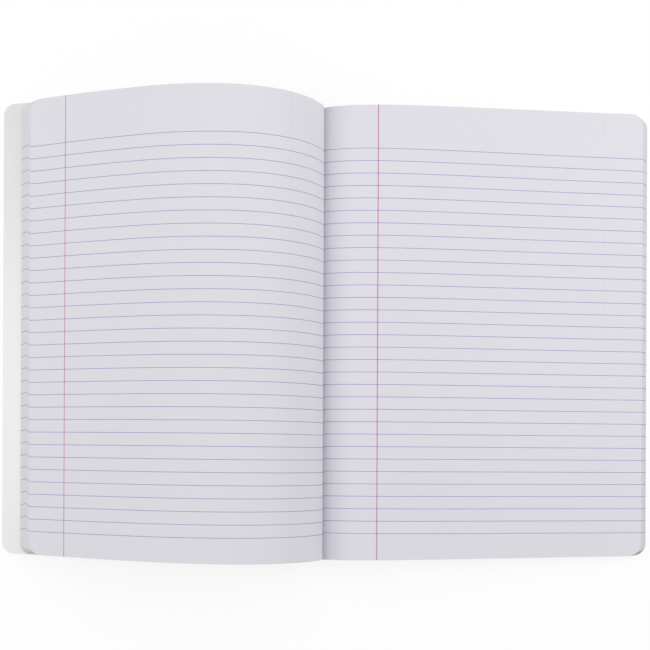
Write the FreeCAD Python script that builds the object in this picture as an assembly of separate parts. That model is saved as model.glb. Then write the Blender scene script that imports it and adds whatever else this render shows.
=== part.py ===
import FreeCAD, Part
import math
import os

# An open composition notebook lying on a table, head at +Y, front cover turned over to -X.
# The front half springs up in an arch, and the back half lies almost flat.
# Millimetres and degrees, +Z up, the table at z = 0, the page height centred on y = 0.

# Overall sizes
page_height = 247.65
cover_width = 184.6
cover_thickness = 0.7
corner_radius = 6.5

# Leaves: ruled paper, folded in the middle and sewn through the fold
leaf_thickness = 0.083
front_leaves = 36
back_leaves = 64

# Cloth tape over the spine, and the sewing under it
tape_thickness = 0.25
tape_lap = 22.0
thread_diameter = 0.4
thread_end_margin = 6.0
thread_clearance = 0.1

# Air left between pieces that turn against each other
rest_gap = 0.3
glue_line = 0.03
hinge_gap = 0.55

# How the fold lies: the block leans over, and its halves part a little above the fold
lean = 50.0
pinch_depth = 8.6

# Back half, from the fold to its fore-edge
back_inset = 3.0
back_fan = 4.2
back_edge_margin = 0.3
back_rise = 26.0
back_rise_reach = 28.0
back_fall = -4.0
back_fall_reach = 105.0
back_landing_length = 14.0
back_foot_turn = 15.0
tape_step_margin = 1.0
tape_step_length = 6.0

# Front half: the arch of the cover, from its hinge to its outer edge
front_hinge_out = 9.0
front_hinge_up = 2.7
flank_length = 60.8
flank_turn = 77.9
crest_length = 35.0
crest_turn = 15.0
slope_length = 60.0
slope_turn = 5.8
tail_turn = -15.8
front_fan = 7.5
front_edge_margin = 10.8
front_steep = 112.6
front_steep_reach = 25.7
front_crest_reach = 26.4
front_landing_length = 24.0
front_foot_reach = 8.0
front_landing_reach = 10.0

# Sizes that follow
block_thickness = (front_leaves + back_leaves) * leaf_thickness
front_stack = front_leaves * leaf_thickness
back_stack = back_leaves * leaf_thickness
fold_radius = block_thickness / 2.0
tape_inner_radius = fold_radius + thread_diameter + thread_clearance
tape_outer_radius = tape_inner_radius + tape_thickness
tail_length = cover_width - flank_length - crest_length - slope_length


def polar(distance, heading):
    """A step in the section, as (x, z)."""
    angle = math.radians(heading)
    return (distance * math.cos(angle), distance * math.sin(angle))


def moved(point, step):
    return (point[0] + step[0], point[1] + step[1])


def beside(station, side):
    """The point that lies side mm to the left of a station of a strip."""
    return moved(station[0], polar(side, station[1] + 90.0))


def at(point, y=0.0):
    """A point of the section as a vector in space."""
    return FreeCAD.Vector(point[0], y, point[1])


def walked(station, bends):
    """The station at the end of a strip that turns left by each of its bends."""
    point, heading = station
    for length, turn in bends:
        if abs(turn) < 1e-6:
            point = moved(point, polar(length, heading))
        else:
            radius = length / math.radians(turn)
            centre = moved(point, polar(radius, heading + 90.0))
            heading += turn
            point = moved(centre, polar(radius, heading - 90.0))
    return (point, heading)


def straight(start, end):
    return Part.LineSegment(at(start), at(end)).toShape()


def split_at(bends, reach):
    """The bends of a strip as far as a reach along it, and those beyond."""
    least_part = 1e-9
    before = []
    beyond = []
    for length, turn in bends:
        part = min(max(reach / length, 0.0), 1.0)
        if part > least_part:
            before.append((length * part, turn * part))
        if part < 1.0 - least_part:
            beyond.append((length * (1.0 - part), turn * (1.0 - part)))
        reach -= length
    return before, beyond


def bent(station, bends, side=0.0):
    """The edges of a bent strip, drawn side mm to its left."""
    edges = []
    for bend in bends:
        middle = walked(station, [(bend[0] / 2.0, bend[1] / 2.0)])
        last = walked(station, [bend])
        start_point, middle_point, end_point = [beside(place, side) for place in (station, middle, last)]
        if abs(bend[1]) < 1e-6:
            edges.append(straight(start_point, end_point))
        else:
            edges.append(Part.Arc(at(start_point), at(middle_point), at(end_point)).toShape())
        station = last
    return edges


def eased(start, start_heading, start_reach, end, end_heading, end_reach):
    """A smooth curve that leaves one point and reaches the other along the given headings."""
    curve = Part.BezierCurve()
    first_handle = moved(start, polar(start_reach, start_heading))
    last_handle = moved(end, polar(-end_reach, end_heading))
    curve.setPoles([at(start), at(first_handle), at(last_handle), at(end)])
    return curve.toShape()


def extruded(edges):
    """A closed section, as a solid of the page height."""
    wire = Part.Wire(Part.__sortEdges__(edges))
    solid = Part.Face(wire).extrude(FreeCAD.Vector(0, page_height, 0))
    solid.translate(FreeCAD.Vector(0, -page_height / 2.0, 0))
    return solid


def plate(station, bends, low_side, high_side):
    """A bent sheet of the page height, between two offsets of one strip."""
    end = walked(station, bends)
    edges = bent(station, bends, low_side) + bent(station, bends, high_side)
    edges.append(straight(beside(station, low_side), beside(station, high_side)))
    edges.append(straight(beside(end, low_side), beside(end, high_side)))
    return extruded(edges)


def round_corners(solid, edge_point, inward_heading, sweep):
    """Round the head and tail corners of a fore-edge; the cut runs along the sweep vector."""
    overrun = 1.0
    inward = at(polar(1.0, inward_heading))
    for end in (-1.0, 1.0):
        along = FreeCAD.Vector(0, -end, 0)
        corner = at(edge_point, end * page_height / 2.0) - sweep * 0.5
        on_side = corner + inward * corner_radius
        on_edge = corner + along * corner_radius
        centre = corner + (inward + along) * corner_radius
        middle = centre - (inward + along) * (corner_radius / math.sqrt(2.0))
        outside = [on_edge, on_edge - inward * overrun, corner - (inward + along) * overrun,
                   on_side - along * overrun, on_side]
        edges = [Part.Arc(on_side, middle, on_edge).toShape()]
        edges += [Part.LineSegment(a, b).toShape() for a, b in zip(outside, outside[1:])]
        cutter = Part.Face(Part.Wire(Part.__sortEdges__(edges))).extrude(sweep * 2.0)
        solid = solid.cut(cutter)
    return solid


def sweep_between(start, end):
    return at(end) - at(start)


# The fold: a half round of leaves, standing just clear of the tape that lies on the table
fold_centre = (0.0, tape_outer_radius)
parting = moved(moved(fold_centre, polar(back_stack - fold_radius, lean + 90.0)),
                polar(pinch_depth, lean))


def front_bends():
    """The bends of the front cover, with its flank split where the lowest leaf lands on it."""
    low_share = front_landing_length / flank_length
    return [(front_landing_length, flank_turn * low_share),
            (flank_length - front_landing_length, flank_turn * (1.0 - low_share)),
            (crest_length, crest_turn),
            (slope_length, slope_turn),
            (tail_length, tail_turn)]


def front_cover_start():
    """The hinge end of the front cover's inner face, turned so that its outer edge meets the table."""
    hinge = moved(fold_centre, (-front_hinge_out, front_hinge_up))
    low, high = 60.0, 150.0
    for _ in range(50):
        heading = (low + high) / 2.0
        lowest = beside(walked((hinge, heading), front_bends()), cover_thickness)
        if lowest[1] > 0.0:
            low = heading
        else:
            high = heading
    return (hinge, low)


def back_cover_start():
    """The hinge end of the back cover's outer face, which lies on the tape."""
    return ((back_inset, tape_thickness), 0.0)


def back_bends(short=0.0):
    """The back cover runs flat over the tape, steps down off it and lies on the table."""
    over_tape = tape_lap + tape_step_margin - back_landing_length
    step_turn = math.degrees(tape_thickness / tape_step_length)
    flat = cover_width - back_landing_length - over_tape - 2.0 * tape_step_length
    return [(back_landing_length, 0.0), (over_tape, 0.0), (tape_step_length, -step_turn),
            (tape_step_length, step_turn), (flat - short, 0.0)]


def front_cover():
    start = front_cover_start()
    covered, bare = split_at(front_bends(), cover_width - front_edge_margin)
    bends = covered + bare
    end = walked(start, bends)
    body = plate(start, bends, 0.0, cover_thickness)
    through = sweep_between(beside(end, 0.0), beside(end, cover_thickness))
    return round_corners(body, beside(end, 0.0), end[1] + 180.0, through)


def back_cover():
    start = back_cover_start()
    bends = back_bends()
    end = walked(start, bends)
    body = plate(start, bends, 0.0, cover_thickness)
    through = sweep_between(beside(end, 0.0), beside(end, cover_thickness))
    return round_corners(body, beside(end, 0.0), end[1] + 180.0, through)


def front_tape_wing():
    bends = [(tape_lap, flank_turn * tape_lap / flank_length)]
    inner = cover_thickness + glue_line
    return plate(front_cover_start(), bends, inner, inner + tape_thickness)


def back_tape_wing():
    return plate(back_cover_start(), [(tape_lap, 0.0)], -tape_thickness, 0.0)


def spine_tape():
    """The strip round the fold, between the two hinge lines."""
    hinge = beside(front_cover_start(), cover_thickness + glue_line + tape_thickness)
    reach = math.hypot(hinge[0] - fold_centre[0], hinge[1] - fold_centre[1])
    to_hinge = math.degrees(math.atan2(hinge[1] - fold_centre[1], hinge[0] - fold_centre[0]))
    leaves_fold = to_hinge + math.degrees(math.acos(tape_outer_radius / reach))
    run = reach * math.sin(math.acos(tape_outer_radius / reach)) - hinge_gap
    wrap = 270.0 - leaves_fold
    start = (moved(moved(fold_centre, polar(tape_outer_radius, leaves_fold)),
                   polar(run, leaves_fold - 90.0)), leaves_fold + 90.0)
    bends = [(run, 0.0), (math.radians(wrap) * tape_outer_radius, wrap), (back_inset - hinge_gap, 0.0)]
    return plate(start, bends, 0.0, tape_thickness)


def sewing_thread():
    """The line of thread that shows on the outside of the fold, under the tape."""
    place = moved(fold_centre, polar(fold_radius + thread_diameter / 2.0 + thread_clearance / 2.0,
                                     lean + 180.0))
    length = page_height - 2.0 * thread_end_margin
    return Part.makeCylinder(thread_diameter / 2.0, length, at(place, -length / 2.0),
                             FreeCAD.Vector(0, 1, 0))


def page_block():
    """All the leaves as one solid: the fold, the arched front half and the back half."""
    cover = front_cover_start()
    bends = front_bends()
    lowest_leaf = split_at(bends, cover_width - front_edge_margin)[0]
    top_leaf = split_at(bends, cover_width - front_edge_margin - front_fan)[0]
    landing = walked(cover, bends[:1])
    top = walked(cover, bends[:2])
    front_low_end = walked(cover, lowest_leaf)
    front_top_end = walked(cover, top_leaf)
    front_low = -rest_gap
    front_high = -(rest_gap + front_stack)

    back = back_cover_start()
    back_low = cover_thickness + rest_gap
    back_high = back_low + back_stack
    back_landed = walked(back, back_bends()[:1])
    back_low_end = walked(back, back_bends(back_edge_margin))
    back_top_end = walked(back, back_bends(back_edge_margin + back_fan))

    front_foot = moved(fold_centre, polar(fold_radius, lean + 90.0))
    fold_back = moved(fold_centre, polar(fold_radius, (lean + 360.0 + back_foot_turn) / 2.0))
    back_foot = moved(fold_centre, polar(fold_radius, 270.0 + back_foot_turn))
    back_foot_reach = back_landing_length / 3.0

    outline = bent(landing, lowest_leaf[1:], front_low)
    outline += bent(top, top_leaf[2:], front_high)
    outline += bent(back_landed, back_bends(back_edge_margin)[1:], back_low)
    outline += [
        straight(beside(front_low_end, front_low), beside(front_top_end, front_high)),
        eased(parting, front_steep, front_steep_reach, beside(top, front_high), top[1], front_crest_reach),
        eased(front_foot, lean, front_foot_reach, beside(landing, front_low), landing[1],
              front_landing_reach),
        Part.Arc(at(front_foot), at(fold_back), at(back_foot)).toShape(),
        eased(back_foot, back_foot_turn, back_foot_reach, beside(back_landed, back_low), back[1],
              back_foot_reach),
        straight(beside(back_low_end, back_low), beside(back_top_end, back_high)),
        eased(parting, back_rise, back_rise_reach, beside(back_top_end, back_high), back_fall,
              back_fall_reach),
    ]
    block = extruded(outline)
    block = round_corners(block, beside(front_top_end, front_high), front_top_end[1] + 180.0,
                          sweep_between(beside(front_top_end, front_high),
                                        beside(front_low_end, front_low)))
    return round_corners(block, beside(back_top_end, back_high), 180.0,
                         sweep_between(beside(back_top_end, back_high), beside(back_low_end, back_low)))


def centring_shift():
    """The move in X that puts the middle of the whole notebook at x = 0."""
    start = front_cover_start()
    end = walked(start, front_bends())
    left = min(beside(end, 0.0)[0], beside(end, cover_thickness)[0])
    right = walked(back_cover_start(), back_bends())[0][0]
    return -(left + right) / 2.0


pieces = {
    "front_cover": front_cover,
    "back_cover": back_cover,
    "page_block": page_block,
    "sewing_thread": sewing_thread,
    "spine_tape": spine_tape,
    "front_tape_wing": front_tape_wing,
    "back_tape_wing": back_tape_wing,
}

os.makedirs("parts", exist_ok=True)
shift = centring_shift()
for name, make in pieces.items():
    shape = make()
    shape.translate(FreeCAD.Vector(shift, 0, 0))
    shape.exportStep("parts/" + name + ".step")
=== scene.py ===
import bisect
import math
import random

import bpy
import mathutils
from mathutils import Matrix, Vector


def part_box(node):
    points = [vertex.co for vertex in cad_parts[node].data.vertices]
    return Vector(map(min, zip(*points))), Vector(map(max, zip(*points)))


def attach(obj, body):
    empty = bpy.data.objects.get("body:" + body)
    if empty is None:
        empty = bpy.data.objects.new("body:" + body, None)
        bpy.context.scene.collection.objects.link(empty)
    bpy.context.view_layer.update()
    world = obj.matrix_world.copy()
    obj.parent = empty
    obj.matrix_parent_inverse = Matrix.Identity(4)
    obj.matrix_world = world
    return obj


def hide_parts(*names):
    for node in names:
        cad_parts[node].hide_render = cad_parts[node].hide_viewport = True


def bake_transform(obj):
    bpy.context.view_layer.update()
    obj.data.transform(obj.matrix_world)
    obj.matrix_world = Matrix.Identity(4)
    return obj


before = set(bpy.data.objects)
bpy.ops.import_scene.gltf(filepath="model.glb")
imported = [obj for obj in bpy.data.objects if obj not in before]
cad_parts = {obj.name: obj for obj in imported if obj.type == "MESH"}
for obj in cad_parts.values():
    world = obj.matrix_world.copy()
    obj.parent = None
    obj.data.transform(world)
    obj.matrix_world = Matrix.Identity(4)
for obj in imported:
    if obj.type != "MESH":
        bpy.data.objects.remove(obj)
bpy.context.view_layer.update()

mm = 0.001

# Front cover: one sheet of thin coated board, satin white inside, marbled in black and white outside
# and grey at its trimmed edge. It is turned over to the left and sprung up in an arch under the
# leaves, and only the spine tape, glued to its outside, holds it.
page_height = 247.65 * mm
cover_width = 184.6 * mm
cover_thickness = 0.7 * mm
corner_radius = 6.5 * mm
flank_length = 60.8 * mm
crest_length = 35.0 * mm
slope_length = 60.0 * mm
tail_length = cover_width - flank_length - crest_length - slope_length
flank_turn = 77.9
crest_turn = 15.0
slope_turn = 5.8
tail_turn = -15.8
front_drift = 0.0135
front_step = 1.6 * mm
corner_steps = 8
sharp_angle = 35.0


def polar(distance, heading):
    """A step in the section across the spine, as (x, z)."""
    return (distance * math.cos(math.radians(heading)), distance * math.sin(math.radians(heading)))


def moved(point, step):
    return (point[0] + step[0], point[1] + step[1])


def beside(station, side):
    """The point to the left of a station (point, heading)."""
    return moved(station[0], polar(side, station[1] + 90.0))


def walked(station, bends, reach=None):
    """The station that lies reach along a strip of bends, or at its end."""
    point, heading = station
    for length, turn in bends:
        part = length if reach is None else min(max(reach, 0.0), length)
        if turn == 0.0:
            point = moved(point, polar(part, heading))
        else:
            radius = length / math.radians(turn)
            centre = moved(point, polar(radius, heading + 90.0))
            heading += turn * part / length
            point = moved(centre, polar(radius, heading - 90.0))
        if reach is not None:
            reach -= length
    return (point, heading)


class Strip:
    """Sheets of one height, each built along a path of stations across the spine."""

    def __init__(self):
        self.points, self.faces, self.sides = [], [], []
        self.notes = {"from_fold": [], "from_edge": [], "from_head": [], "from_tail": [], "verso": []}

    def add(self, stations, thickness, half_heights, drifts, lift=0.0, notes=None):
        """A sheet whose upper side is to the left of its stations.

        Each station has its half height, and how far it has drifted towards the head.
        """
        first = len(self.points)
        for index, (station, half, drift) in enumerate(zip(stations, half_heights, drifts)):
            for layer, side in enumerate((lift + thickness, lift)):
                x, z = beside(station, side)
                for end in (-1.0, 1.0):
                    self.points.append((x, end * half + drift, z))
                    note = notes[index][layer] if notes else (0.0, 0.0, 0.0, 0.0)
                    self.notes["from_fold"].append(note[0])
                    self.notes["from_edge"].append(note[1])
                    self.notes["from_head"].append(page_height / 2.0 - end * half + note[2])
                    self.notes["from_tail"].append(page_height / 2.0 + end * half)
                    self.notes["verso"].append(note[3])
        for index in range(len(stations) - 1):
            a = first + 4 * index
            b = a + 4
            self.faces += [(a, b, b + 1, a + 1), (a + 2, a + 3, b + 3, b + 2),
                           (a + 2, b + 2, b, a), (a + 1, b + 1, b + 3, a + 3)]
            self.sides += [0, 1, 2, 2]
        last = first + 4 * (len(stations) - 1)
        self.faces += [(first + 2, first, first + 1, first + 3), (last, last + 2, last + 3, last + 1)]
        self.sides += [2, 2]

    def piece(self, name, materials):
        """The object, with its first material on upper sides, the next below and the last on edges."""
        mesh = bpy.data.meshes.new(name)
        mesh.from_pydata(self.points, [], self.faces)
        mesh.polygons.foreach_set("material_index", self.sides)
        mesh.polygons.foreach_set("use_smooth", [True] * len(self.faces))
        mesh.set_sharp_from_angle(angle=math.radians(sharp_angle))
        for note, values in self.notes.items():
            mesh.attributes.new(note, "FLOAT", "POINT").data.foreach_set("value", values)
        for material in materials:
            mesh.materials.append(material)
        made = bpy.data.objects.new(name, mesh)
        bpy.context.collection.objects.link(made)
        return made


def rounded(reaches, width):
    """Half heights along a sheet of the given width whose far corners are rounded."""
    halves = []
    for reach in reaches:
        into = max(corner_radius - (width - reach), 0.0)
        drop = corner_radius - math.sqrt(max(corner_radius ** 2 - into ** 2, 0.0))
        halves.append(page_height / 2.0 - drop)
    return halves


def reaches_to(width, step):
    """Distances along a sheet, closer together round its corner."""
    count = int((width - corner_radius) / step)
    plain = [(width - corner_radius) * index / count for index in range(count)]
    turn = [width - corner_radius * (1.0 - math.sin(math.pi / 2.0 * index / corner_steps))
            for index in range(corner_steps + 1)]
    return plain + turn


class Shade:
    """A value in a material: arithmetic on it adds the nodes that work it out."""

    def __init__(self, tree, socket=None):
        self.tree = tree
        self.socket = socket

    def node(self, kind, settings=None, inputs=None, output=0):
        """One output of a new node, whose settings are made before its sockets get values or links."""
        made = self.tree.nodes.new(kind)
        for name, value in (settings or {}).items():
            setattr(made, name, value)
        for name, value in (inputs or {}).items():
            if isinstance(value, Shade):
                self.tree.links.new(value.socket, made.inputs[name])
            else:
                made.inputs[name].default_value = value
        return Shade(self.tree, made.outputs[output])

    def math(self, operation, first, second=0.0):
        return self.node("ShaderNodeMath", {"operation": operation}, {0: first, 1: second})

    def __add__(self, other):
        return self.math("ADD", self, other)

    def __sub__(self, other):
        return self.math("SUBTRACT", self, other)

    def __rsub__(self, other):
        return self.math("SUBTRACT", other, self)

    def __mul__(self, other):
        return self.math("MULTIPLY", self, other)

    def __truediv__(self, other):
        return self.math("DIVIDE", self, other)

    __radd__ = __add__
    __rmul__ = __mul__

    def tint(self, first, second):
        """The first colour where this value is 0 and the second where it is 1."""
        return self.node("ShaderNodeMix", {"data_type": "RGBA"}, {0: self, 6: first, 7: second}, 2)

    def band(self, low, high):
        """0 below low, 1 above high, smooth between."""
        return self.node("ShaderNodeMapRange", {"interpolation_type": "SMOOTHSTEP"},
                         {0: self, 1: low, 2: high, 3: 0.0, 4: 1.0})

    def noise(self, place, scale, detail=2.0, distortion=0.0, output=0):
        return self.node("ShaderNodeTexNoise", None,
                         {"Vector": place, "Scale": scale, "Detail": detail, "Distortion": distortion},
                         output)


def finish(name, roughness):
    """A new material: its tree for shading, and its main shader."""
    material = bpy.data.materials.new(name)
    material.use_nodes = True
    shader = material.node_tree.nodes["Principled BSDF"]
    shader.inputs["Roughness"].default_value = roughness
    return material, Shade(material.node_tree), shader


def feed(shade, shader, **sockets):
    """Link values to the sockets of a shader that they are named for."""
    for name, value in sockets.items():
        shade.tree.links.new(value.socket, shader.inputs[name.replace("_", " ")])


def relief(shade, height, distance, strength):
    """A surface's small bumps, from their height and how deep they go."""
    return shade.node("ShaderNodeBump", None, {"Height": height, "Distance": distance, "Strength": strength})


dull_white = (0.72, 0.715, 0.70, 1)
clear_white = (0.77, 0.768, 0.755, 1)
inside_card, shade, shader = finish("coated_card_inside", 0.34)
place = shade.node("ShaderNodeTexCoord", output=3)
cloud = shade.noise(place, 22.0, 3.0)
feed(shade, shader,
     Base_Color=cloud.tint(dull_white, clear_white),
     Roughness=0.29 + cloud * 0.10,
     Normal=relief(shade, shade.noise(place, 900.0, 3.0), 0.04 * mm, 0.35))

marble_black = (0.012, 0.012, 0.013, 1)
marble_white = (0.78, 0.78, 0.76, 1)
marble_pull = 12.0 * mm
fleck_share = 0.35
white_from = 0.70
white_full = 0.715
outside_card, shade, shader = finish("marbled_card_outside", 0.38)
place = shade.node("ShaderNodeTexCoord", output=3)
warp = shade.noise(place, 70.0, 3.0, output=1)
drift = shade.node("ShaderNodeVectorMath", {"operation": "SCALE"}, {0: warp, 3: marble_pull})
wandering = shade.node("ShaderNodeVectorMath", {"operation": "ADD"}, {0: place, 1: drift})
islands = shade.noise(wandering, 115.0, 5.0, 0.6)
flecks = shade.noise(wandering, 420.0, 3.0, 0.3)
white = (islands + flecks * fleck_share).band(white_from, white_full)
feed(shade, shader,
     Base_Color=white.tint(marble_black, marble_white),
     Roughness=0.34 + shade.noise(place, 60.0) * 0.1,
     Normal=relief(shade, shade.noise(place, 1100.0, 3.0), 0.04 * mm, 0.4))

core_dark = (0.42, 0.41, 0.39, 1)
core_light = (0.62, 0.61, 0.585, 1)
card_core, shade, shader = finish("card_edge", 0.9)
place = shade.node("ShaderNodeTexCoord", output=3)
feed(shade, shader, Base_Color=shade.noise(place, 2600.0, 4.0).tint(core_dark, core_light))

# The fold stands on the tape, and the front hinge is set out from it.
leaf_thickness = 0.083 * mm
front_leaves = 36
back_leaves = 64
tape_thickness = 0.25 * mm
tape_lap = 22.0 * mm
thread_room = 0.5 * mm
glue_line = 0.03 * mm
fold_radius = (front_leaves + back_leaves) * leaf_thickness / 2.0
tape_radius = fold_radius + thread_room + tape_thickness
front_hinge_out = 9.0 * mm
front_hinge_up = 2.7 * mm
front_bends = [(flank_length, flank_turn), (crest_length, crest_turn), (slope_length, slope_turn),
               (tail_length, tail_turn)]

# The section is drawn about the fold. The arch is turned at its hinge until its far edge meets the
# table, and the whole is then centred as the frame says.
hinge_from_fold = (-front_hinge_out, tape_radius + front_hinge_up)
low, high = 60.0, 150.0
halvings = 50
for _ in range(halvings):
    heading = (low + high) / 2.0
    far_edge = walked((hinge_from_fold, heading), front_bends)
    if beside(far_edge, cover_thickness)[1] > 0.0:
        low = heading
    else:
        high = heading
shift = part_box("front_cover")[0][0] - min(beside(far_edge, side)[0] for side in (0.0, cover_thickness))
fold_centre = (shift, tape_radius)
front_hinge = ((shift - front_hinge_out, hinge_from_fold[1]), heading)

front_reaches = reaches_to(cover_width, front_step)
front_path = [walked(front_hinge, front_bends, reach) for reach in front_reaches]
front_sheet = Strip()
front_sheet.add([(point, heading + 180.0) for point, heading in reversed(front_path)], cover_thickness,
                rounded(front_reaches, cover_width)[::-1],
                [front_drift * reach for reach in reversed(front_reaches)], lift=-cover_thickness)
front_card = front_sheet.piece("front_card", [inside_card, outside_card, card_core])
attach(front_card, "front_cover_body")
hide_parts("front_cover")

# Back cover: the same board under the right-hand leaves. It runs flat over the spine tape, steps
# down off it and lies on the table, with the same white inside and marbled outside.
back_inset = 3.0 * mm
back_edge_margin = 0.3 * mm
back_drift = 0.0076
back_step = 2.0 * mm
past_tape = 1.0 * mm
step_length = 6.0 * mm
step_turn = math.degrees(tape_thickness / step_length)
over_tape = tape_lap + past_tape
back_bends = [(over_tape, 0.0), (step_length, -step_turn), (step_length, step_turn),
              (cover_width - over_tape - 2.0 * step_length, 0.0)]
back_hinge = ((shift + back_inset, tape_thickness), 0.0)
back_reaches = reaches_to(cover_width, back_step)
back_sheet = Strip()
back_sheet.add([walked(back_hinge, back_bends, reach) for reach in back_reaches],
               cover_thickness, rounded(back_reaches, cover_width),
               [back_drift * reach for reach in back_reaches])
back_card = back_sheet.piece("back_card", [inside_card, outside_card, card_core])
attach(back_card, "back_cover_body")
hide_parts("back_cover")

# Leaves: fifty sheets nested in one another, folded in the middle and sewn there into a hundred
# leaves. They are ruled in thin violet-blue with a pink margin line, and the turned half fans out
# towards its fore-edge, where the ruling of one leaf no longer meets that of the next.
rest_gap = 0.3 * mm
back_stack = back_leaves * leaf_thickness
front_stack = front_leaves * leaf_thickness
lean = 50.0
pinch_depth = 8.6 * mm
front_landing = 24.0 * mm
front_edge_margin = 10.8 * mm
front_fan = 7.5 * mm
front_steep = 112.6
front_steep_reach = 25.7 * mm
front_crest_reach = 26.4 * mm
front_foot_reach = 8.0 * mm
front_landing_reach = 10.0 * mm
back_fan = 4.2 * mm
back_rise = 26.0
back_rise_reach = 28.0 * mm
back_fall = -4.0
back_fall_reach = 105.0 * mm
back_landing = 14.0 * mm
back_foot_turn = 25.0


def eased(start, start_heading, start_reach, end, end_heading, end_reach, count=60):
    """Points along a smooth curve that leaves one point and reaches the other on given headings."""
    poles = [start, moved(start, polar(start_reach, start_heading)),
             moved(end, polar(-end_reach, end_heading)), end]
    points = []
    for index in range(count + 1):
        t = index / count
        weights = ((1.0 - t) ** 3, 3.0 * t * (1.0 - t) ** 2, 3.0 * t * t * (1.0 - t), t ** 3)
        points.append(tuple(sum(weight * pole[axis] for weight, pole in zip(weights, poles))
                            for axis in (0, 1)))
    return points


def followed(station, bends, near, far, side, step=1.5 * mm):
    """Points beside a bent strip, from one reach along it to another."""
    count = int((far - near) / step)
    reaches = [near + (far - near) * index / count for index in range(count + 1)]
    return [beside(walked(station, bends, reach), side) for reach in reaches]


def measured(points):
    """The distance along a line of points, at each of them."""
    run = [0.0]
    for a, b in zip(points, points[1:]):
        run.append(run[-1] + math.hypot(b[0] - a[0], b[1] - a[1]))
    return run


def along(points, run, reach):
    """The point at a distance along a line of points."""
    index = min(max(bisect.bisect_right(run, reach) - 1, 0), len(run) - 2)
    part = (reach - run[index]) / (run[index + 1] - run[index])
    return tuple(points[index][axis] + part * (points[index + 1][axis] - points[index][axis])
                 for axis in (0, 1))


# The open pages bound the leaves above, and the leaves next to the covers bound them below.
parting_foot = moved(fold_centre, polar(back_stack - fold_radius, lean + 90.0))
parting = moved(parting_foot, polar(pinch_depth, lean))
crest_start = walked(front_hinge, front_bends, flank_length)
landing = walked(front_hinge, front_bends, front_landing)
front_end = cover_width - front_edge_margin
front_low = -rest_gap
front_high = front_low - front_stack
front_open = [parting_foot] + eased(parting, front_steep, front_steep_reach,
                                    beside(crest_start, front_high), crest_start[1], front_crest_reach)
front_open += followed(front_hinge, front_bends, flank_length, front_end - front_fan, front_high)[1:]
front_covered = eased(moved(fold_centre, polar(fold_radius, lean + 90.0)), lean, front_foot_reach,
                      beside(landing, front_low), landing[1], front_landing_reach)
front_covered += followed(front_hinge, front_bends, front_landing, front_end, front_low)[1:]
back_low = cover_thickness + rest_gap
back_high = back_low + back_stack
back_end = cover_width - back_edge_margin
back_open_end = walked(back_hinge, back_bends, back_end - back_fan)
back_open = [parting_foot] + eased(parting, back_rise, back_rise_reach,
                                   beside(back_open_end, back_high), back_fall, back_fall_reach)
back_landed = walked(back_hinge, back_bends, back_landing)
back_covered = eased(moved(fold_centre, polar(fold_radius, 270.0 + back_foot_turn)), back_foot_turn,
                     back_landing / 3.0, beside(back_landed, back_low), 0.0, back_landing / 3.0)
back_covered += followed(back_hinge, back_bends, back_landing, back_end, back_low)[1:]

# No two leaves end alike: they bunch, the knife has wandered, and each sheet was ruled by itself. On
# the turned half the ruling moves towards the head over the uppermost leaves, and partly back below.
random.seed(11)
leaf_step = 3.4 * mm
near_fold = 24.0 * mm
near_count = 26
smoothings = 3
front_rule = -0.0074
back_rule = -0.0097
back_slip = 0.8 * mm
front_slip = 1.65 * mm
slipping_leaves = 14
slip_back = 1.0 * mm
slip_wander = 0.18 * mm
front_bunching = 0.16 * mm
back_bunching = 0.05 * mm
bunch_turn = 1.25
knife_wander = 0.10 * mm


def leaf(open_line, covered_line, share, slip, stands_out):
    """One leaf from the fold outwards: its points, their distances, its width and its ruling's slip."""
    open_run, covered_run = measured(open_line), measured(covered_line)
    even_width = open_run[-1] + (covered_run[-1] - open_run[-1]) * share
    width = even_width + stands_out + random.uniform(-0.5, 0.5) * knife_wander
    reaches = [near_fold * index / near_count for index in range(near_count)]
    reaches += [near_fold + reach * (width - near_fold) / width for reach in reaches_to(width, leaf_step)]
    points = []
    for reach in reaches:
        above = along(open_line, open_run, open_run[-1] * reach / even_width)
        below = along(covered_line, covered_run, covered_run[-1] * reach / even_width)
        points.append(tuple(above[axis] + (below[axis] - above[axis]) * share for axis in (0, 1)))
    for _ in range(smoothings):
        for index in range(1, near_count):
            points[index] = tuple((points[index - 1][axis] + 2.0 * points[index][axis]
                                   + points[index + 1][axis]) / 4.0 for axis in (0, 1))
    return points, reaches, width, slip + random.uniform(-slip_wander, slip_wander)


def slipped(number):
    """The ruling's slip towards the head on a leaf of the turned half, numbered from the open page."""
    below = max(number - slipping_leaves, 0) / (front_leaves - slipping_leaves)
    return front_slip * min(number / slipping_leaves, 1.0) - slip_back * below


front_half = [leaf(front_open, front_covered, (number + 0.5) / front_leaves, slipped(number),
                   front_bunching * math.sin(bunch_turn * number)) for number in range(front_leaves)]
back_half = [leaf(back_open, back_covered, (number + 0.5) / back_leaves, back_slip,
                  back_bunching * math.sin(bunch_turn * number)) for number in range(back_leaves)]
turned_back = back_leaves - front_leaves
folded = [(front_half[number], back_half[number + turned_back]) for number in range(front_leaves)]
folded += [(back_half[number], back_half[turned_back - 1 - number]) for number in range(turned_back // 2)]

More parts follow.
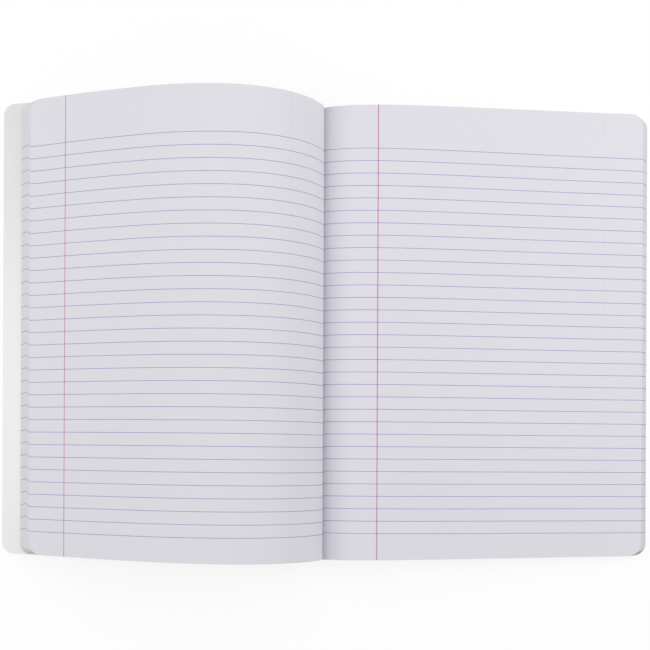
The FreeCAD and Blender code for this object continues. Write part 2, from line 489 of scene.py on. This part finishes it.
# Each sheet is drawn a little thinner than the room it has, so that no two of them touch.
drawn_thickness = 0.9 * leaf_thickness
fold_steps = 10
sheets = Strip()
for left, right in folded:
    left_points, left_reaches, left_width, left_slip = left
    right_points, right_reaches, right_width, right_slip = right
    left_step = (left_points[0][0] - fold_centre[0], left_points[0][1] - fold_centre[1])
    right_step = (right_points[0][0] - fold_centre[0], right_points[0][1] - fold_centre[1])
    start_angle = math.degrees(math.atan2(left_step[1], left_step[0]))
    end_angle = math.degrees(math.atan2(right_step[1], right_step[0])) + 360.0
    turn = []
    for index in range(1, fold_steps):
        part = index / fold_steps
        radius = math.hypot(*left_step) * (1.0 - part) + math.hypot(*right_step) * part
        turn.append(moved(fold_centre, polar(radius, start_angle + (end_angle - start_angle) * part)))
    points = left_points[::-1] + turn + right_points
    before = [points[0]] + points[:-1]
    after = points[1:] + [points[-1]]
    stations = [(point, math.degrees(math.atan2(b[1] - a[1], b[0] - a[0])))
                for a, point, b in zip(before, points, after)]
    left_drift, left_rule = (front_drift, front_rule) if left in front_half else (back_drift, back_rule)
    facts = [(reach, left_width - reach, left_slip + left_rule * reach, 1.0) for reach in left_reaches[::-1]]
    facts += [(0.0, right_width, right_slip, 0.0)] * len(turn)
    facts += [(reach, right_width - reach, right_slip + back_rule * reach, 0.0) for reach in right_reaches]
    drifts = [left_drift * reach for reach in left_reaches[::-1]] + [0.0] * len(turn)
    drifts += [back_drift * reach for reach in right_reaches]
    notes = [(fact, fact[:3] + (1.0 - fact[3],)) for fact in facts]
    halves = rounded(left_reaches, left_width)[::-1] + [page_height / 2.0] * len(turn)
    halves += rounded(right_reaches, right_width)
    sheets.add(stations, drawn_thickness, halves, drifts, -drawn_thickness / 2.0, notes)

# The ruling is measured on each leaf from its own fold, edge and head. A recto has its margin line
# near the fold and a verso near its edge, and each shows faintly through from the other side.
head_margin = 24.2 * mm
line_pitch = 6.757 * mm
line_count = 32
line_width = 0.34 * mm
recto_line_width = 0.60 * mm
verso_line_width = 0.48 * mm
recto_margin = 37.9 * mm
verso_margin = 22.6 * mm
ink_core = 0.35
ink_rim = 0.65
ink_least = 0.75
ink_spread = 0.2
pink_strength = 0.9
show_through = 0.10
dull_paper = (0.700, 0.690, 0.742, 1)
clear_paper = (0.730, 0.720, 0.772, 1)
faint_pink = (0.62, 0.36, 0.46, 1)
violet_ink = (0.287, 0.209, 0.527, 1)
pink_ink = (0.565, 0.181, 0.342, 1)
crossed_ink = (0.23, 0.09, 0.30, 1)
paper, shade, shader = finish("ruled_paper", 0.82)
place = shade.node("ShaderNodeTexCoord", output=3)
from_fold, from_edge, from_head, verso = [
    shade.node("ShaderNodeAttribute", {"attribute_name": name}, output=2)
    for name in ("from_fold", "from_edge", "from_head", "verso")]
lines_down = (from_head - head_margin) / line_pitch
to_line = shade.math("ABSOLUTE", shade.math("FRACT", lines_down + 0.5) - 0.5) * line_pitch
ruled = shade.math("GREATER_THAN", lines_down, -0.5) * shade.math("LESS_THAN", lines_down, line_count - 0.5)
ink = (1.0 - to_line.band(line_width * ink_core, line_width * ink_rim)) * ruled
recto_line, verso_line = [
    1.0 - shade.math("ABSOLUTE", reach - margin).band(width * ink_core, width * ink_rim)
    for reach, margin, width in ((from_fold, recto_margin, recto_line_width),
                                 (from_edge, verso_margin, verso_line_width))]
pink = recto_line * (1.0 - verso) + verso_line * verso
seen_through = (recto_line * verso + verso_line * (1.0 - verso)) * show_through
fibres = shade.noise(place, 260.0, 4.0)
stock = (fibres * 0.5 + shade.noise(place, 14.0) * 0.5).tint(dull_paper, clear_paper)
stock = seen_through.tint(stock, faint_pink)
printed = (ink * (ink_least + ink_spread * shade.noise(place, 160.0))).tint(stock, violet_ink)
printed = (pink * pink_strength).tint(printed, pink_ink)
printed = (pink * ink).tint(printed, crossed_ink)

# Painted shade: the very edge of each leaf is darkened where its corner turns into the tail, standing in for
# the shade between the leaves there.
painted_shade_grey = (0.16, 0.155, 0.165, 1)
recto_painted_shade = 0.68
verso_painted_shade = 0.30
painted_shade_rim = (corner_radius - 0.7 * mm, corner_radius - 0.2 * mm)
painted_shade_at_side = (0.6 * mm, 2.0 * mm)
painted_shade_at_tail = (2.6 * mm, 5.8 * mm)
from_tail = shade.node("ShaderNodeAttribute", {"attribute_name": "from_tail"}, output=2)
past_side = shade.math("MAXIMUM", corner_radius - from_edge, 0.0)
past_tail = shade.math("MAXIMUM", corner_radius - from_tail, 0.0)
from_centre = shade.math("SQRT", past_side * past_side + past_tail * past_tail)
painted_corner_shade = (from_centre.band(*painted_shade_rim) * past_side.band(*painted_shade_at_side)
           * past_tail.band(*painted_shade_at_tail))
printed = (painted_corner_shade * (recto_painted_shade - (recto_painted_shade - verso_painted_shade) * verso)).tint(printed, painted_shade_grey)
feed(shade, shader, Base_Color=printed,
     Normal=relief(shade, fibres + shade.noise(place, 1500.0) * 0.6, 0.03 * mm, 0.3))

# The cut edges are rougher, and coloured greyer than the paper as painted shade between the leaves, with a
# darker painted shade at the corners at the tail.
cut_dark = (0.52, 0.515, 0.55, 1)
cut_light = (0.64, 0.635, 0.67, 1)
cut_painted_shade = (0.24, 0.235, 0.245, 1)
shade_fade_above_tail = (1.0 * mm, 4.5 * mm)
shade_fade_from_edge = (3.0 * mm, 6.0 * mm)
trimmed, shade, shader = finish("trimmed_edge", 0.9)
from_edge, from_tail = [shade.node("ShaderNodeAttribute", {"attribute_name": name}, output=2)
                        for name in ("from_edge", "from_tail")]
# Painted shade: the cut edges turn darker at the corners at the tail.
tail_corner_painted_shade = (1.0 - from_tail.band(*shade_fade_above_tail)) * (1.0 - from_edge.band(*shade_fade_from_edge))
fuzz = shade.noise(shade.node("ShaderNodeTexCoord", output=3), 3000.0, 3.0)
feed(shade, shader, Base_Color=tail_corner_painted_shade.tint(fuzz.tint(cut_dark, cut_light), cut_painted_shade))
sewn_sheets = sheets.piece("sewn_sheets", [paper, paper, trimmed])
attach(sewn_sheets, "pages")
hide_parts("page_block")

# Spine tape: one strip of black book cloth, glued round the fold and onto the outside of both
# covers. It creases along the two hinge lines when a cover turns, so it is drawn in two halves
# that meet under the fold.
thread_pitch = 0.42 * mm
cloth_dark = (0.010, 0.010, 0.011, 1)
cloth_worn = (0.026, 0.026, 0.028, 1)
cloth, shade, shader = finish("book_cloth", 0.62)
weave_place = [shade.node("ShaderNodeAttribute", {"attribute_name": name}, output=2)
               for name in ("from_fold", "from_head")]
warp, weft = [shade.math("SINE", reach * (2.0 * math.pi / thread_pitch)) for reach in weave_place]
weave = shade.math("ABSOLUTE", warp) + shade.math("ABSOLUTE", weft)
place = shade.node("ShaderNodeTexCoord", output=3)
worn = shade.noise(place, 90.0, 4.0)
feed(shade, shader,
     Base_Color=worn.tint(cloth_dark, cloth_worn),
     Roughness=0.52 + worn * 0.2,
     Normal=relief(shade, weave + shade.noise(place, 2200.0) * 0.7, 0.06 * mm, 0.6))

# The front half runs from the cover's outside straight onto the fold, and wraps it to its lowest line.
wing_side = cover_thickness + glue_line + tape_thickness
hinge_point = beside(front_hinge, wing_side)
hinge_step = (hinge_point[0] - fold_centre[0], hinge_point[1] - fold_centre[1])
hinge_reach = math.hypot(*hinge_step)
meeting = math.acos(tape_radius / hinge_reach)
leaves_fold = math.degrees(math.atan2(hinge_step[1], hinge_step[0]) + meeting)
run = hinge_reach * math.sin(meeting)
wrap = 270.0 - leaves_fold
spine_start = (moved(moved(fold_centre, polar(tape_radius, leaves_fold)), polar(run, leaves_fold - 90.0)),
               leaves_fold + 90.0)
spine_bends = [(run, 0.0), (math.radians(wrap) * tape_radius, wrap)]
spine_length = sum(bend[0] for bend in spine_bends)
spine_steps = 56
coarse_step = 1.0 * mm
fine_step = 0.25 * mm
front_fine = 4.0 * mm
back_fine = 6.0 * mm
crease_reach = 2.0 * mm


def tape_half(name, stations, distances, crease):
    """Half of the tape, as one strip; the crease it is given is not used."""
    strip = Strip()
    notes = [[(distance, 0.0, 0.0, 0.0)] * 2 for distance in distances]
    strip.add(stations, tape_thickness, [page_height / 2.0] * len(stations), [0.0] * len(stations),
              notes=notes)
    half = strip.piece(name, [cloth, cloth, cloth])
    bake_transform(half)
    return half


wing_rows = round((tape_lap - front_fine) / coarse_step)
wing_reaches = [tape_lap - coarse_step * index for index in range(wing_rows)]
wing_reaches += [front_fine - fine_step * index for index in range(round(front_fine / fine_step))]
wing_path = [walked(front_hinge, front_bends, reach) for reach in wing_reaches]
wing_stations = [(beside(station, wing_side), station[1] + 180.0) for station in wing_path]
spine_reaches = [spine_length * index / spine_steps for index in range(spine_steps + 1)]
spine_stations = [walked(spine_start, spine_bends, reach) for reach in spine_reaches]
front_crease = [walked(spine_start, spine_bends, crease_reach)[0],
                beside(walked(front_hinge, front_bends, crease_reach), wing_side)]
front_half_tape = tape_half(
    "front_tape", wing_stations + spine_stations,
    [tape_lap - reach for reach in wing_reaches] + [tape_lap + reach for reach in spine_reaches],
    [(x, 0.0, z) for x, z in front_crease])
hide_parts("spine_tape", "front_tape_wing")

# The back half lies flat on the table, from the fold's lowest line onto the back cover's outside.
back_reach = back_inset + tape_lap
back_rows = round((back_reach - back_fine) / coarse_step)
flat_reaches = [fine_step * index for index in range(round(back_fine / fine_step))]
flat_reaches += [back_fine + coarse_step * index for index in range(back_rows + 1)]
back_half_tape = tape_half(
    "back_tape", [((shift + reach, 0.0), 0.0) for reach in flat_reaches],
    [tape_lap + spine_length + reach for reach in flat_reaches],
    [(shift + reach, 0.0, 0.0) for reach in (back_inset - crease_reach, back_inset + crease_reach)])
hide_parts("back_tape_wing")

# Sewing: one line of waxed white cotton, stitched by machine through the fold of all the sheets. It
# lies along the outside of the fold, where the tape covers it.
cotton_dark = (0.55, 0.53, 0.48, 1)
cotton_light = (0.74, 0.72, 0.67, 1)
cotton, shade, shader = finish("waxed_cotton", 0.6)
place = shade.node("ShaderNodeTexCoord", output=3)
ply = shade.noise(place, 1800.0, 3.0)
feed(shade, shader,
     Base_Color=ply.tint(cotton_dark, cotton_light),
     Normal=relief(shade, ply, 0.05 * mm, 0.5))
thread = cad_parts["sewing_thread"]
thread.data.materials.clear()
thread.data.materials.append(cotton)

# Table and backdrop: a white sweep under a soft sky, with a soft lamp to each side of the notebook
# and a weaker one beyond its head.
floor_size = 40.0
floor_drop = 0.2 * mm
sweep_white = (0.97, 0.97, 0.97, 1)
near_white = 0.85
fade_from = 0.25
fade_to = 0.75
bpy.ops.mesh.primitive_plane_add(size=floor_size, location=(0.0, 0.0, -floor_drop))
floor = bpy.context.object
floor.name = "floor"
floor_paint, shade, shader = finish("white_sweep", 0.9)
shader.inputs["Base Color"].default_value = sweep_white
shader.inputs["Specular IOR Level"].default_value = 0.0

# Near the notebook a part of the floor's own shading is kept, which shows the shadow, and further
# away it is plain white.
plain_white = shade.node("ShaderNodeEmission", None, {"Color": (1.0, 1.0, 1.0, 1), "Strength": 1.0})
seen = shade.node("ShaderNodeLightPath")
away = shade.node("ShaderNodeVectorMath", {"operation": "LENGTH"},
                  {0: shade.node("ShaderNodeTexCoord", output=3)}, 1)
whitened = seen * (near_white + (1.0 - near_white) * away.band(fade_from, fade_to))
mixed = shade.node("ShaderNodeMixShader", None,
                   {0: whitened, 1: Shade(shade.tree, shader.outputs[0]), 2: plain_white})
shade.tree.links.new(mixed.socket, shade.tree.nodes["Material Output"].inputs[0])
floor.data.materials.append(floor_paint)

sky_grey = (0.43, 0.43, 0.43, 1)
sky_white = (1.0, 1.0, 1.0, 1)
world = bpy.data.worlds.new("studio")
bpy.context.scene.world = world
world.use_nodes = True
sky = Shade(world.node_tree)
looked_at = sky.node("ShaderNodeLightPath")
looked_through = sky.node("ShaderNodeLightPath", output=6)
backdrop = world.node_tree.nodes["Background"]
feed(sky, backdrop, Color=sky.math("MAXIMUM", looked_at, looked_through).tint(sky_grey, sky_white))

for name, spot, power, size in (("left_lamp", (-0.86, 0.0, 0.74), 4.6, 0.5),
                                ("right_lamp", (0.80, 0.20, 0.68), 4.5, 0.5),
                                ("head_lamp", (0.0, 0.75, 0.75), 1.9, 0.6)):
    lamp = bpy.data.lights.new(name, "AREA")
    lamp.energy = power
    lamp.size = size
    stand = bpy.data.objects.new(name, lamp)
    stand.location = spot
    stand.rotation_euler = mathutils.Vector(spot).to_track_quat("Z", "Y").to_euler()
    bpy.context.collection.objects.link(stand)

# Camera: above the tail half of the open book, turned a little to the right of straight down. Its
# frame is shifted towards the head instead of tilted, which keeps the pages' edges near parallel.
eye_tilt = -2.4
eye_roll = 0.25
camera = bpy.data.cameras.new("camera")
camera.sensor_width = 36.0
camera.lens = 55.38
camera.shift_y = 0.1926
eye = bpy.data.objects.new("camera", camera)
eye.location = (-0.0254, -0.0639, 0.5592)
eye.rotation_euler = (0.0, math.radians(eye_tilt), math.radians(eye_roll))
bpy.context.collection.objects.link(eye)
bpy.context.scene.camera = eye
bpy.context.scene.view_settings.view_transform = "Standard"
